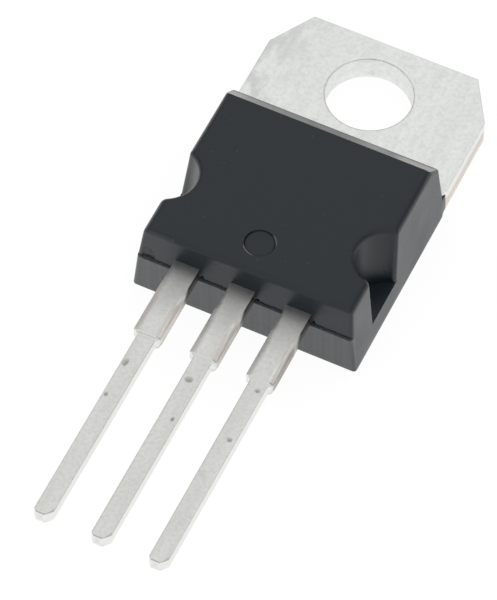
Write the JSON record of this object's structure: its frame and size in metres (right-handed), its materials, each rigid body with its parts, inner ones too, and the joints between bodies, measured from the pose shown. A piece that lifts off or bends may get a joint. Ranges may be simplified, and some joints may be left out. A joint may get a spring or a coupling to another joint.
{
  "type": "triac",
  "caption": "Through-hole power semiconductor: a black moulded block with side notches on a plated mounting tab with a screw hole, and straight flat leads from one end.",
  "frame": {"origin": "on the axis of the mounting hole, in the plane of the tab's back", "axes": "+Z out of the marked front face, which is the way a screw comes out; +Y from the leads to the tab, along the part; +X to the right as the front is seen with the leads down"},
  "size_m": [0.0102, 0.0287, 0.0041],
  "materials": {
    "mould_resin": "black epoxy moulding compound, matt with a fine grain",
    "tinned_tab": "copper under dull tin or nickel plate, with faint rolling lines",
    "tinned_leads": "copper alloy under satin tin plate",
    "bare_copper": "bare copper",
    "solder": "dull solder",
    "alumina": "white alumina",
    "silicon": "polished grey silicon",
    "junction_glass": "fired passivation glass",
    "contact_metal": "bright contact metal and bond wire"
  },
  "bodies": {
    "root": {"moulded_body": "mould_resin", "heat_spreader": "tinned_tab", "spreader_solder": "solder", "lower_copper": "bare_copper", "ceramic_insulator": "alumina", "upper_copper": "bare_copper", "pad_solder": "solder", "lead_main_2": "tinned_leads", "die_solder": "solder", "triac_die": "silicon", "passivation_glass": "junction_glass", "main_contact": "contact_metal", "gate_contact": "contact_metal", "clip_solder": "solder", "main_clip": "bare_copper", "clip_end_solder": "solder", "lead_main_1": "tinned_leads", "lead_gate": "tinned_leads", "gate_wire": "contact_metal"}
  },
  "joints": []
}
